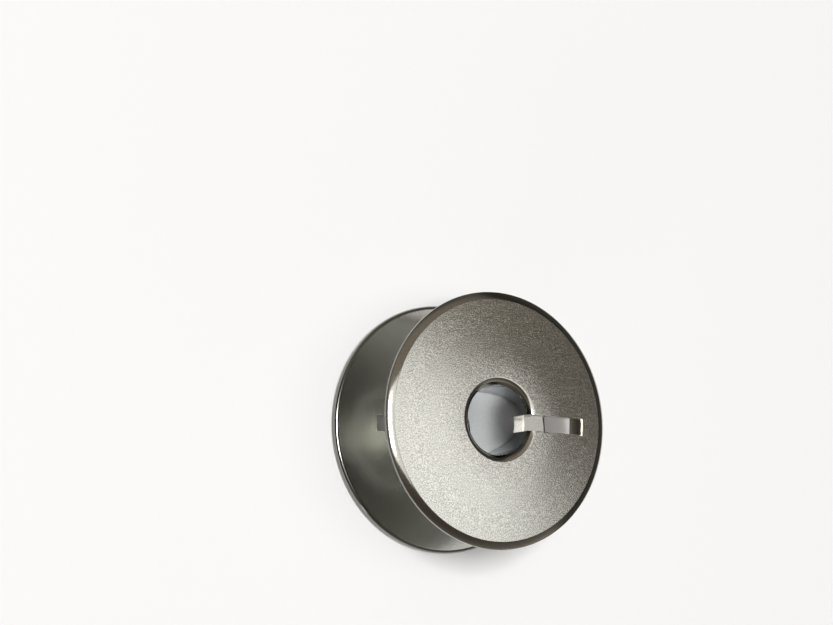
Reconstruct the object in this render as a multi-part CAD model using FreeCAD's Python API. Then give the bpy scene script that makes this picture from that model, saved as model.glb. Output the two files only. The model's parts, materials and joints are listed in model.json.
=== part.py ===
import FreeCAD, Part
import os

# Sewing machine bobbin, turned in one piece from steel and nickel plated. Millimetres.
# It stands on its lower flange. The origin is the middle of that flange's outer face,
# +Z runs up the bore, and the slot of the upper flange points along +X.

# Driving dimensions of the turned blank
flange_diameter = 20.6
overall_width = 9.4
flange_thickness = 0.7
hub_diameter = 7.5
bore_diameter = 5.7

# Edges: the rim's curve reaches in this far along the outer face
rim_reach = 0.7
rim_chamfer = 0.2
hub_fillet = 0.35
bore_chamfer = 0.35

# Slot in each flange, left by a disc cutter plunged in beside the bore
slot_width = 1.3
upper_slot_reach = 8.1
lower_slot_reach = 7.15
slot_depth = 2.4
cutter_clearance = 0.05

# Sizes worked out from the driving dimensions
flange_radius = flange_diameter / 2
hub_radius = hub_diameter / 2
bore_radius = bore_diameter / 2
middle = FreeCAD.Vector(0, 0, overall_width / 2)
y_axis = FreeCAD.Vector(0, 1, 0)
z_axis = FreeCAD.Vector(0, 0, 1)


def at(radius, height):
    """Point of the half section, on the XZ plane."""
    return FreeCAD.Vector(radius, 0, height)


def line(start, end):
    return Part.LineSegment(start, end).toShape()


def arc(start, corner, end):
    """Circular arc from start to end, tangent to the equal sides of its corner."""
    weight = start.distanceToPoint(end) / (2 * start.distanceToPoint(corner))
    crown = (start + corner * (2 * weight) + end) / (2 + 2 * weight)
    return Part.Arc(start, crown, end).toShape()


def rounded(start, corner, end):
    """Two arcs from start to end, tangent to each other and to the sides of the corner.

    They meet at the centre of the circle inscribed in the corner's triangle, and make one
    quarter circle where the sides are equal.
    """
    before = start.distanceToPoint(corner)
    after = corner.distanceToPoint(end)
    across = start.distanceToPoint(end)
    around = before + after + across
    joint = (start * after + corner * across + end * before) / around
    share = across / around
    return [
        arc(start, start + (corner - start) * share, joint),
        arc(joint, end + (corner - end) * share, end),
    ]


def lower_flange_edges():
    """Half section of the lower flange, from the bore round the rim to the hub."""
    top = flange_thickness
    bore_edge = at(bore_radius, bore_chamfer)
    face_start = at(bore_radius + bore_chamfer, 0)
    face_end = at(flange_radius - rim_reach, 0)
    rim = at(flange_radius, top / 2)
    rim_end = at(flange_radius, top - rim_chamfer)
    inner_start = at(flange_radius - rim_chamfer, top)
    inner_end = at(hub_radius + hub_fillet, top)
    hub_edge = at(hub_radius, top + hub_fillet)
    return [
        line(bore_edge, face_start),
        line(face_start, face_end),
        *rounded(face_end, at(flange_radius, 0), rim),
        line(rim, rim_end),
        line(rim_end, inner_start),
        line(inner_start, inner_end),
        *rounded(inner_end, at(hub_radius, top), hub_edge),
    ]


def turned_blank():
    """Hub and both flanges, revolved from one half section."""
    lower = lower_flange_edges()
    upper = [edge.mirror(middle, z_axis) for edge in lower]
    hub_start = flange_thickness + hub_fillet
    hub_side = line(at(hub_radius, hub_start), at(hub_radius, overall_width - hub_start))
    bore_side = line(at(bore_radius, bore_chamfer), at(bore_radius, overall_width - bore_chamfer))
    outline = Part.sortEdges(lower + upper + [hub_side, bore_side])[0]
    section = Part.Face(Part.Wire(outline))
    return section.revolve(FreeCAD.Vector(), z_axis, 360)


def slot_cutter(reach):
    """Disc that cuts a slot down through the upper flange and the top of the hub's wall.

    Its rim leaves the flange's face at this reach on one side, and on the other side it
    stays inside the far edge of the bore.
    """
    half_chord = (reach + bore_radius - cutter_clearance) / 2
    radius = (half_chord ** 2 + slot_depth ** 2) / (2 * slot_depth)
    height = overall_width + radius - slot_depth
    base = FreeCAD.Vector(reach - half_chord, -slot_width / 2, height)
    return Part.makeCylinder(radius, slot_width, base, y_axis)


def bobbin():
    """The blank with one slot in each flange, half a turn apart."""
    upper_cutter = slot_cutter(upper_slot_reach)
    lower_cutter = slot_cutter(lower_slot_reach)
    lower_cutter.rotate(middle, y_axis, 180)
    return turned_blank().cut(upper_cutter).cut(lower_cutter).Solids[0]


os.makedirs("parts", exist_ok=True)
bobbin().exportStep("parts/bobbin.step")
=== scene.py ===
import json
import math

import bmesh
import bpy
from mathutils import Matrix, Vector


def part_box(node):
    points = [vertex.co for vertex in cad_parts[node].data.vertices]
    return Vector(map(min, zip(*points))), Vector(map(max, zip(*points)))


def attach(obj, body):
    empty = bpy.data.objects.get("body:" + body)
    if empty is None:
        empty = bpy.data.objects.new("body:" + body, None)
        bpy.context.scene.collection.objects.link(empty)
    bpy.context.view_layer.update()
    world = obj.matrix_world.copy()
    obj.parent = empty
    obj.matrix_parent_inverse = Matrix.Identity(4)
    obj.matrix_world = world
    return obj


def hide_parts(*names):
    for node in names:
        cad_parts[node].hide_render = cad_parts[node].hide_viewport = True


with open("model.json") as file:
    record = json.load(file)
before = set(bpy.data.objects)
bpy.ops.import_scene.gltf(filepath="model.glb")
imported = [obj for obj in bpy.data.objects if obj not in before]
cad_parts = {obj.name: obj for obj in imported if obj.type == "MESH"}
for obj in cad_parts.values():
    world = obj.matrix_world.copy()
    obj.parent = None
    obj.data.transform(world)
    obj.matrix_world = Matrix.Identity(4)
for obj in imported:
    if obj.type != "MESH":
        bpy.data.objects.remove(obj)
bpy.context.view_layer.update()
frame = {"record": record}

# Sewing machine bobbin of nickel plated steel, standing on a pale floor. Metres.
MM = 0.001
MICRON = 0.000001

# Sizes of the bobbin. Its box and bore come from the frame, the rest repeats the part's source.
NODE = "bobbin"
BOX_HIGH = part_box(NODE)[1]
FLANGE_RADIUS = BOX_HIGH.x
WIDTH = BOX_HIGH.z
BORE_RADIUS = frame["record"]["mounts"][0]["dims"]["r_mm"] * MM
FLANGE_THICKNESS = 0.7 * MM
HUB_RADIUS = 3.75 * MM
HUB_FILLET = 0.35 * MM
BORE_CHAMFER = 0.35 * MM
SLOT_WIDTH = 1.3 * MM
UPPER_SLOT_REACH = 8.1 * MM
LOWER_SLOT_REACH = 7.15 * MM
SLOT_DEPTH = 2.4 * MM
CUTTER_CLEARANCE = 0.05 * MM

# Fine forms of the finished surface: a crisp bevel at the rim, rounded edges, and flanges that
# are dished a little towards each other
RIM_REACH = 0.62 * MM
RIM_DROP = 0.26 * MM
RIM_SQUARENESS = 1.25
RIM_INNER_EDGE = 0.28 * MM
BORE_EDGE = 0.05 * MM
MOUTH_EDGE = 0.2 * MM
SLOT_EDGE = 0.03 * MM
SLOT_END_EDGE = 0.2 * MM
DISH_START = 3.6 * MM
DISH_STRAIGHT = 6.0 * MM
DISH_SLOPE = math.tan(math.radians(1.5))

# Outlines of a slot's cutter: the lowest one's depth as a share of the slot's depth, the depths of
# those above it as shares of the flange's thickness, and how far all reach into the open bore.
# Depths are rounded to whole nanometres, so that none comes twice.
CUTTER_BOTTOM = 0.98
CUTTER_SHOULDER = 1.5
CUTTER_UPPER = 1.2
CUTTER_UPPER_STEPS = 6
CUTTER_OVERLAP = 0.5 * MM
DEPTH_DIGITS = 9

# Mesh density, the flat ring beside each rounded edge, and the shading of edges and faces
TURN_STEPS = 384
EDGE_STEPS = 10
EDGE_ANGLES = [math.pi / 2 * step / EDGE_STEPS for step in range(EDGE_STEPS + 1)]
FACE_STEPS = 12
HOLDING_RING = 0.03 * MM
SHARP_ANGLE = math.radians(35)
LARGE_FACE_WEIGHT = 100

# Grain and turning lines of the metal
GRAIN_SIZE = 0.16 * MM
FACE_GRAIN_SIZE = 0.09 * MM
GRAIN_DEPTH = 0.6 * MICRON
GRAIN_DETAIL = 2.0
GRAIN_FADE = 0.6
SPECKLE_RANGE = (0.35, 0.65)
ROUGHNESS_SPREAD = 0.2
LINE_SIZE = 0.12 * MM
LINE_DETAIL = 4.0

# Fine scratches on the outer faces
SCRATCH_ANGLES = (20, 75, 140)
SCRATCH_LENGTH = 1.5 * MM
SCRATCH_WIDTH = 0.06 * MM
SCRATCH_RANGE = (0.66, 0.76)

# The photograph's frame, and where the middle of the upper face lies in it
IMAGE_SIZE = (833, 625)
FACE_PIXEL = (500.6, 419.4)
FOCAL_PIXELS = 2043
FACE_DISTANCE = 162.4 * MM
VIEW_FROM_AXIS = math.radians(32.05)
VIEW_AZIMUTH = math.radians(-71.2)
VIEW_ROLL = math.radians(75.28)
SENSOR = 36.0
CLIP_START = 10 * MM

# Floor, and how far away the lamps are
FLOOR_SIZE = 8.0
FLOOR_COLOUR = (0.95, 0.955, 0.965)
CEILING = 1.5
SIDE_DISTANCE = 1.0

# Room that the metal mirrors: its colour by height, and overhead on its dark and its light side
ROOM_STOPS = (
    (0.00, (0.05, 0.042, 0.034)),
    (0.20, (0.42, 0.388, 0.345)),
    (0.55, (0.20, 0.184, 0.163)),
)
OVERHEAD_RANGE = (0.5, 0.85)
OVERHEAD_DARK = (0.095, 0.080, 0.065)
OVERHEAD_LIGHT = (0.330, 0.285, 0.235)
LIGHT_SIDE = (-0.6, 1.0, 0.0)
LIGHT_SIDE_RANGE = (-0.5, 0.6)

# Sides where the room is dimmed: direction, where the shade begins and is full, and the light left
DARK_SIDES = (
    ((0.93, 0.37, 0.0), (0.60, 0.74), 0.20),
    ((-1.0, 0.0, 0.0), (0.56, 0.80), 0.16),
    ((0.0, 1.0, 0.0), (0.68, 0.90), 0.50),
)


def add_object(name, data):
    """Adds an object to the scene."""
    made = bpy.data.objects.new(name, data)
    bpy.context.scene.collection.objects.link(made)
    return made


# Materials

def node(tree, kind, inputs=None, **settings):
    """Adds a shader node, sets its properties and its unlinked inputs."""
    made = tree.nodes.new(kind)
    for name, value in settings.items():
        setattr(made, name, value)
    for name, value in (inputs or {}).items():
        made.inputs[name].default_value = value
    return made


def new_material(name):
    material = bpy.data.materials.new(name)
    material.use_nodes = True
    material.node_tree.nodes.clear()
    return material, material.node_tree


def mix(tree, share, first, second):
    """Colour that runs from the first to the second with a share."""
    made = node(tree, "ShaderNodeMix", data_type="RGBA")
    made.inputs["A"].default_value = (*first, 1)
    made.inputs["B"].default_value = (*second, 1)
    tree.links.new(share, made.inputs["Factor"])
    return made.outputs["Result"]


def map_range(tree, value, limits, results=(0.0, 1.0), interpolation="SMOOTHSTEP"):
    """Number that goes from the first result to the second while a value crosses its limits."""
    made = node(tree, "ShaderNodeMapRange", interpolation_type=interpolation)
    made.inputs["From Min"].default_value = limits[0]
    made.inputs["From Max"].default_value = limits[1]
    made.inputs["To Min"].default_value = results[0]
    made.inputs["To Max"].default_value = results[1]
    tree.links.new(value, made.inputs["Value"])
    return made.outputs["Result"]


def turning_lines(tree, position, along):
    """Height map of lines by distance from the axis on a face, or by height on a cylinder."""
    split = node(tree, "ShaderNodeSeparateXYZ")
    tree.links.new(position, split.inputs[0])
    distance = split.outputs["Z"]
    if along == "radius":
        flat = node(tree, "ShaderNodeCombineXYZ")
        tree.links.new(split.outputs["X"], flat.inputs["X"])
        tree.links.new(split.outputs["Y"], flat.inputs["Y"])
        length = node(tree, "ShaderNodeVectorMath", operation="LENGTH")
        tree.links.new(flat.outputs[0], length.inputs[0])
        distance = length.outputs["Value"]
    lines = node(tree, "ShaderNodeTexNoise", noise_dimensions="1D")
    lines.inputs["Scale"].default_value = 1 / LINE_SIZE
    lines.inputs["Detail"].default_value = LINE_DETAIL
    tree.links.new(distance, lines.inputs["W"])
    return lines.outputs["Fac"]


def scratches(tree, position):
    """Height map of sparse fine scratches that cross in a few directions."""
    height = None
    for angle in SCRATCH_ANGLES:
        turned = node(tree, "ShaderNodeMapping", {
            "Rotation": (0, 0, math.radians(angle)),
            "Scale": (1 / SCRATCH_LENGTH, 1 / SCRATCH_WIDTH, 1 / SCRATCH_LENGTH),
        })
        tree.links.new(position, turned.inputs["Vector"])
        streaks = node(tree, "ShaderNodeTexNoise", {"Scale": 1.0, "Detail": 0.0})
        tree.links.new(turned.outputs["Vector"], streaks.inputs["Vector"])
        share = map_range(tree, streaks.outputs["Fac"], SCRATCH_RANGE)
        if height is None:
            height = share
            continue
        both = node(tree, "ShaderNodeMath", operation="MAXIMUM")
        tree.links.new(height, both.inputs[0])
        tree.links.new(share, both.inputs[1])
        height = both.outputs["Value"]
    return height


def bumps(tree, layers):
    """Normal of a surface with layers of height maps on it, each with its depth."""
    normal = None
    for height, depth in layers:
        bump = node(tree, "ShaderNodeBump", {"Strength": 1.0, "Distance": depth})
        tree.links.new(height, bump.inputs["Height"])
        if normal is not None:
            tree.links.new(normal, bump.inputs["Normal"])
        normal = bump.outputs["Normal"]
    return normal


def nickel(name, roughness, tints, grain_size=GRAIN_SIZE, grain_depth=GRAIN_DEPTH, line_depth=0.0,
           along="radius", scratch_depth=0.0):
    """Plated steel: grain in colour, roughness and height, and lines or scratches of some depth."""
    material, tree = new_material(name)
    output = node(tree, "ShaderNodeOutputMaterial")
    shader = node(tree, "ShaderNodeBsdfPrincipled", {"Metallic": 1.0})
    tree.links.new(shader.outputs[0], output.inputs["Surface"])
    position = node(tree, "ShaderNodeTexCoord").outputs["Object"]
    grain = node(tree, "ShaderNodeTexNoise", {
        "Scale": 1 / grain_size,
        "Detail": GRAIN_DETAIL,
        "Roughness": GRAIN_FADE,
    })
    tree.links.new(position, grain.inputs["Vector"])
    grain_height = grain.outputs["Fac"]

    speckle = map_range(tree, grain_height, SPECKLE_RANGE, interpolation="LINEAR")
    tree.links.new(mix(tree, speckle, *tints), shader.inputs["Base Color"])
    roughness_range = (roughness * (1 - ROUGHNESS_SPREAD), roughness * (1 + ROUGHNESS_SPREAD))
    rough = map_range(tree, grain_height, (0.0, 1.0), roughness_range, interpolation="LINEAR")
    tree.links.new(rough, shader.inputs["Roughness"])

    layers = [(grain_height, grain_depth)]
    if line_depth:
        layers.append((turning_lines(tree, position, along), line_depth))
    if scratch_depth:
        layers.append((scratches(tree, position), scratch_depth))
    tree.links.new(bumps(tree, layers), shader.inputs["Normal"])
    return material


def make_finishes_and_painted_shade():
    """Materials of the bobbin's surfaces by name. Tints are the dark and the light of the grain. The rim,
    flange edge and bore chamfer tints are also darkened as painted dark reflection, and the inner face and
    hub tints as painted shade between the flanges.
    """
    return {
        "face": nickel("nickel_satin_face", 0.13, tints=((0.42, 0.42, 0.385), (0.80, 0.80, 0.745)),
                       grain_size=FACE_GRAIN_SIZE, grain_depth=3.8 * MICRON,
                       line_depth=0.3 * MICRON, scratch_depth=0.6 * MICRON),
        "polished": nickel("nickel_polished_edge", 0.10, tints=((0.51, 0.505, 0.465), (0.59, 0.585, 0.54))),
        # Rim bevel, flange edge and bore chamfer: tints darkened as painted dark reflection of the room
        # around them
        "rim": nickel("nickel_rim_bevel_painted_dark_reflection", 0.10, tints=((0.38, 0.372, 0.34), (0.44, 0.432, 0.395))),
        "edge": nickel("nickel_flange_edge_painted_dark_reflection", 0.12, tints=((0.23, 0.226, 0.21), (0.28, 0.275, 0.255))),
        "chamfer": nickel("nickel_bore_chamfer_painted_dark_reflection", 0.12, tints=((0.15, 0.145, 0.133), (0.19, 0.184, 0.169))),
        # Inner faces and hub: tints darkened a little as painted shade between the flanges
        "inner": nickel("nickel_inner_face_painted_shade", 0.20, tints=((0.49, 0.49, 0.46), (0.57, 0.57, 0.54)),
                        grain_depth=1.0 * MICRON, line_depth=1.5 * MICRON),
        "hub": nickel("nickel_hub_painted_shade", 0.20, tints=((0.52, 0.52, 0.49), (0.60, 0.60, 0.57)),
                      line_depth=1.0 * MICRON, along="height"),
        "bore": nickel("nickel_bore", 0.10, tints=((0.44, 0.45, 0.45), (0.51, 0.52, 0.52)),
                       line_depth=1.0 * MICRON, along="height"),
        "slot": nickel("nickel_slot", 0.14, tints=((0.58, 0.575, 0.525), (0.67, 0.665, 0.61)),
                       grain_depth=1.0 * MICRON),
    }


def floor_material():
    material, tree = new_material("floor_paper")
    output = node(tree, "ShaderNodeOutputMaterial")
    shader = node(tree, "ShaderNodeBsdfDiffuse", {"Color": (*FLOOR_COLOUR, 1)})
    tree.links.new(shader.outputs[0], output.inputs["Surface"])
    return material


# Turned blank

def curve(start, corner, end, squareness=2.0):
    """Points from start to end, tangent to both sides of a corner.

    They make a quarter of an ellipse, or a flatter bevel where the squareness is below 2.
    """
    points = []
    for angle in EDGE_ANGLES:
        along = math.sin(angle) ** (2 / squareness)
        across = max(math.cos(angle), 0) ** (2 / squareness)
        points.append(corner + (start - corner) * (1 - along) + (end - corner) * (1 - across))
    return points


def dish(radius):
    """How far a flange has bent inwards at a radius."""
    if radius < DISH_START:
        return 0.0
    bent = min(radius, DISH_STRAIGHT) - DISH_START
    straight = max(radius - DISH_STRAIGHT, 0)
    return DISH_SLOPE * (bent ** 2 / (2 * (DISH_STRAIGHT - DISH_START)) + straight)


def on_flange(radius, height):
    """Point of the lower flange's section, with its height above the dished outer face."""
    return Vector((radius, height + dish(radius)))


def flange_run(start, end, height):
    """Points between two radii, at one height above the dished outer face.

    They begin and end a narrow ring inside the radii, so that the shading is flat up to there.
    """
    ring = math.copysign(HOLDING_RING, end - start)
    length = end - start - 2 * ring
    radii = [start + ring + length * step / FACE_STEPS for step in range(FACE_STEPS + 1)]
    return [on_flange(radius, height) for radius in radii]


def lower_profile():
    """Half section of the lower flange from the bore to the hub: points, and the finish after each."""
    top = FLANGE_THICKNESS
    radius = FLANGE_RADIUS
    slant = Vector((1, -1)).normalized()
    bore_corner = Vector((BORE_RADIUS, BORE_CHAMFER))
    mouth_corner = Vector((BORE_RADIUS + BORE_CHAMFER, 0))
    face_start = BORE_RADIUS + BORE_CHAMFER + MOUTH_EDGE
    rim_start = radius - RIM_REACH
    inner_start = radius - RIM_INNER_EDGE
    inner_end = HUB_RADIUS + HUB_FILLET
    # Points of each run, the finish between them, and the finish from its last point to the next run
    runs = [
        (curve(bore_corner + Vector((0, BORE_EDGE)), bore_corner, bore_corner + slant * BORE_EDGE),
         "chamfer", "chamfer"),
        (curve(mouth_corner - slant * MOUTH_EDGE, mouth_corner, Vector((face_start, 0))),
         "polished", "face"),
        (flange_run(face_start, rim_start, 0),
         "face", "face"),
        (curve(on_flange(rim_start, 0), on_flange(radius, 0), on_flange(radius, RIM_DROP), RIM_SQUARENESS),
         "rim", "edge"),
        (curve(on_flange(radius, top - RIM_INNER_EDGE), on_flange(radius, top), on_flange(inner_start, top)),
         "edge", "inner"),
        (flange_run(inner_start, inner_end, top),
         "inner", "inner"),
        (curve(on_flange(inner_end, top), Vector((HUB_RADIUS, top)), Vector((HUB_RADIUS, top + HUB_FILLET))),
         "hub", "hub"),
    ]
    points = []
    finishes = []
    for run, inside, after in runs:
        points += run
        finishes += [inside] * (len(run) - 1) + [after]
    return points, finishes


def whole_profile():
    """Closed half section, and the finish of the edge that starts at each point."""
    lower, lower_finishes = lower_profile()
    upper = [Vector((point.x, WIDTH - point.y)) for point in reversed(lower)]
    upper_finishes = list(reversed(lower_finishes[:-1])) + ["bore"]
    return lower + upper, lower_finishes + upper_finishes


def turned_mesh(materials):
    """Revolves the profile about the axis. The loops close, so there are no poles.

    The steps lie half a step beside +X, so that none runs along the middle of a slot.
    """
    profile, finishes = whole_profile()
    names = list(materials)
    mesh = bpy.data.meshes.new("turned_blank")
    for name in names:
        mesh.materials.append(materials[name])
    shape = bmesh.new()
    rings = []
    for point in profile:
        ring = []
        for step in range(TURN_STEPS):
            angle = 2 * math.pi * (step + 0.5) / TURN_STEPS
            ring.append(shape.verts.new((point.x * math.cos(angle), point.x * math.sin(angle), point.y)))
        rings.append(ring)
    for index, ring in enumerate(rings):
        following = rings[(index + 1) % len(rings)]
        for step in range(TURN_STEPS):
            beside = (step + 1) % TURN_STEPS
            face = shape.faces.new((ring[step], ring[beside], following[beside], following[step]))
            face.material_index = names.index(finishes[index])
    bmesh.ops.recalc_face_normals(shape, faces=shape.faces)
    shape.to_mesh(mesh)
    shape.free()
    return mesh


# Slots

def slot_end(reach, depth):
    """How far along +X the disc cutter reaches, at a depth below the flange's face."""
    half_chord = (reach + BORE_RADIUS - CUTTER_CLEARANCE) / 2
    radius = (half_chord ** 2 + SLOT_DEPTH ** 2) / (2 * SLOT_DEPTH)
    below_centre = radius - SLOT_DEPTH + depth
    return reach - half_chord + math.sqrt(radius ** 2 - below_centre ** 2)


def flare(depth, edge):
    """How much wider the cutter is at a depth, so that it leaves an edge rounded."""
    if depth >= edge:
        return 0.0
    return edge - math.sqrt(edge ** 2 - (edge - max(depth, 0)) ** 2)


def cutter_depths():
    """Depths of the cutter's outlines, from its bottom to a little above the flange's face."""
    depths = [SLOT_DEPTH * CUTTER_BOTTOM, FLANGE_THICKNESS * CUTTER_SHOULDER]
    for step in range(CUTTER_UPPER_STEPS):
        depths.append(FLANGE_THICKNESS * (CUTTER_UPPER - step / CUTTER_UPPER_STEPS))
    for edge in (SLOT_END_EDGE, SLOT_EDGE):
        depths += [edge * (1 - math.sin(angle)) for angle in EDGE_ANGLES[:-1]]
    return sorted({round(depth, DEPTH_DIGITS) for depth in depths}, reverse=True) + [0.0, -SLOT_EDGE]


def cutter_outline(reach, depth):
    """Outline of the upper slot's cutter at a depth, with rounded corners where it meets the bore."""
    half = SLOT_WIDTH / 2
    bore_side = math.sqrt(BORE_RADIUS ** 2 - half ** 2)
    side = half + flare(depth, SLOT_EDGE)
    end = slot_end(reach - SLOT_END_EDGE / 2, max(depth, 0)) + flare(depth, SLOT_END_EDGE)
    outline = [(end, side)]
    for angle in EDGE_ANGLES:
        along = bore_side + SLOT_EDGE * (1 - math.sin(angle))
        across = side + SLOT_EDGE * (1 - math.cos(angle))
        outline.append((along, across))
    outline.append((bore_side - CUTTER_OVERLAP, side + SLOT_EDGE))
    return outline + [(x, -y) for x, y in reversed(outline)]


def cutter_mesh(reach, material):
    """Upper slot's cutter as a stack of outlines, which flare to round the slot's edges."""
    shape = bmesh.new()
    rows = []
    for depth in cutter_depths():
        rows.append([shape.verts.new((x, y, WIDTH - depth)) for x, y in cutter_outline(reach, depth)])
    for lower, upper in zip(rows, rows[1:]):
        for index in range(len(lower)):
            beside = (index + 1) % len(lower)
            shape.faces.new((lower[index], lower[beside], upper[beside], upper[index]))
    shape.faces.new(rows[0])
    shape.faces.new(rows[-1])
    bmesh.ops.recalc_face_normals(shape, faces=shape.faces)
    mesh = bpy.data.meshes.new("slot_cutter")
    mesh.materials.append(material)
    shape.to_mesh(mesh)
    shape.free()
    return mesh


def cut_mesh(blank, cutters):
    """Mesh of the blank with the cutters taken away from it. Both are used up."""
    for cutter in cutters:
        cut = blank.modifiers.new("slot", "BOOLEAN")
        cut.operation = "DIFFERENCE"
        cut.solver = "EXACT"
        cut.material_mode = "TRANSFER"
        cut.object = cutter
    graph = bpy.context.evaluated_depsgraph_get()
    mesh = bpy.data.meshes.new_from_object(blank.evaluated_get(graph))
    for used in (blank, *cutters):
        bpy.data.objects.remove(used)
    return mesh


def build_bobbin(materials):
    """Turned blank with both slots cut, as one mesh. The lower slot is half a turn away."""
    upper_cutter = cutter_mesh(UPPER_SLOT_REACH, materials["slot"])
    lower_cutter = cutter_mesh(LOWER_SLOT_REACH, materials["slot"])
    middle = Matrix.Translation((0, 0, WIDTH / 2))
    lower_cutter.transform(middle @ Matrix.Rotation(math.pi, 4, "Y") @ middle.inverted())
    blank = add_object("blank", turned_mesh(materials))
    mesh = cut_mesh(blank, [add_object("cutter", upper_cutter), add_object("cutter", lower_cutter)])
    mesh.name = "bobbin_turned"
    mesh.shade_smooth()
    mesh.set_sharp_from_angle(angle=SHARP_ANGLE)
    piece = add_object("bobbin_turned", mesh)
    normals = piece.modifiers.new("face_normals", "WEIGHTED_NORMAL")
    normals.mode = "FACE_AREA"
    normals.weight = LARGE_FACE_WEIGHT
    normals.keep_sharp = True
    return piece


# Floor, camera and light

def build_floor():
    half = FLOOR_SIZE / 2
    corners = [(-half, -half, 0), (half, -half, 0), (half, half, 0), (-half, half, 0)]
    mesh = bpy.data.meshes.new("floor")
    mesh.from_pydata(corners, [], [(0, 1, 2, 3)])
    mesh.materials.append(floor_material())
    return add_object("floor", mesh)


def place_camera():
    """Camera at the photograph's viewing angle, so that the upper face lands on its pixel."""
    data = bpy.data.cameras.new("camera")
    data.sensor_width = SENSOR
    data.lens = FOCAL_PIXELS * SENSOR / IMAGE_SIZE[0]
    data.clip_start = CLIP_START
    camera = add_object("camera", data)
    turn = (Matrix.Rotation(VIEW_AZIMUTH, 4, "Z") @ Matrix.Rotation(VIEW_FROM_AXIS, 4, "X")
            @ Matrix.Rotation(VIEW_ROLL, 4, "Z"))
    right = (FACE_PIXEL[0] - IMAGE_SIZE[0] / 2) / FOCAL_PIXELS
    down = (FACE_PIXEL[1] - IMAGE_SIZE[1] / 2) / FOCAL_PIXELS
    face_middle = Vector((0, 0, WIDTH))
    place = face_middle - turn @ (Vector((right, -down, -1)) * FACE_DISTANCE)
    camera.matrix_world = Matrix.Translation(place) @ turn
    bpy.context.scene.camera = camera


def panel(name, size, glow, shape="RECTANGLE"):
    """Soft lamp of a given size that looks as bright as its glow."""
    data = bpy.data.lights.new(name, "AREA")
    data.shape = shape
    data.size, data.size_y = size
    area = data.size * data.size_y * (math.pi / 4 if shape == "ELLIPSE" else 1)
    data.energy = glow * math.pi * area
    return add_object(name, data)


def ceiling_panel(name, middle, size, glow, shape="RECTANGLE", height=1.0):
    """Panel that shines down from a share of the ceiling's height.

    Its middle and size are shares of its own height above the floor.
    """
    lamp = panel(name, Vector(size) * CEILING * height, glow, shape)
    lamp.location = Vector((*middle, 1)) * CEILING * height


def side_panel(name, direction, size, glow):
    """Panel that shines at the bobbin from one side."""
    lamp = panel(name, size, glow)
    lamp.location = Vector(direction) * SIDE_DISTANCE
    lamp.rotation_euler = lamp.location.to_track_quat("Z", "Y").to_euler()


def towards(tree, direction, side):
    """How far a direction leans towards a side."""
    made = node(tree, "ShaderNodeVectorMath", operation="DOT_PRODUCT")
    made.inputs[1].default_value = side
    tree.links.new(direction, made.inputs[0])
    return made.outputs["Value"]


def colour_by_height(tree, height):
    """Colour of the room from the horizon upwards."""
    ramp = node(tree, "ShaderNodeValToRGB")
    ramp.color_ramp.interpolation = "EASE"
    stops = ramp.color_ramp.elements
    while len(stops) < len(ROOM_STOPS):
        stops.new(1.0)
    for stop, (position, colour) in zip(stops, ROOM_STOPS):
        stop.position = position
        stop.color = (*colour, 1)
    tree.links.new(height, ramp.inputs["Fac"])
    return ramp.outputs["Color"]


def room():
    """Brown room: light a little above the horizon, darker higher up, light overhead on one side.

    A few sides of it are dimmed.
    """
    world = bpy.data.worlds.new("room")
    bpy.context.scene.world = world
    world.use_nodes = True
    tree = world.node_tree
    direction = node(tree, "ShaderNodeTexCoord").outputs["Generated"]
    split = node(tree, "ShaderNodeSeparateXYZ")
    tree.links.new(direction, split.inputs[0])
    height = split.outputs["Z"]
    light_side = map_range(tree, towards(tree, direction, LIGHT_SIDE), LIGHT_SIDE_RANGE)
    whole = node(tree, "ShaderNodeMix", data_type="RGBA")
    tree.links.new(map_range(tree, height, OVERHEAD_RANGE), whole.inputs["Factor"])
    tree.links.new(colour_by_height(tree, height), whole.inputs["A"])
    tree.links.new(mix(tree, light_side, OVERHEAD_DARK, OVERHEAD_LIGHT), whole.inputs["B"])
    colour = whole.outputs["Result"]
    for side, limits, left in DARK_SIDES:
        dimmed = node(tree, "ShaderNodeVectorMath", operation="SCALE")
        tree.links.new(colour, dimmed.inputs[0])
        shade = map_range(tree, towards(tree, direction, side), limits, (1.0, left))
        tree.links.new(shade, dimmed.inputs["Scale"])
        colour = dimmed.outputs["Vector"]
    tree.links.new(colour, tree.nodes["Background"].inputs["Color"])


def light_scene():
    room()
    ceiling_panel("fill_panel", middle=(0.335, 0.012), size=(0.80, 0.47), glow=1.12, shape="ELLIPSE")
    ceiling_panel("soft_panel", middle=(-0.23, 0.02), size=(0.58, 0.56), glow=1.35)
    ceiling_panel("key_panel", middle=(-0.345, 0.02), size=(0.18, 0.36), glow=39.0, height=0.95)
    side_panel("side_glint", direction=(-0.47, -0.84, 0.26), size=(0.12, 0.16), glow=5.0)


bobbin = build_bobbin(make_finishes_and_painted_shade())
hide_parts(NODE)
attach(bobbin, "root")
build_floor()
place_camera()
light_scene()
bpy.context.scene.view_settings.view_transform = "Standard"
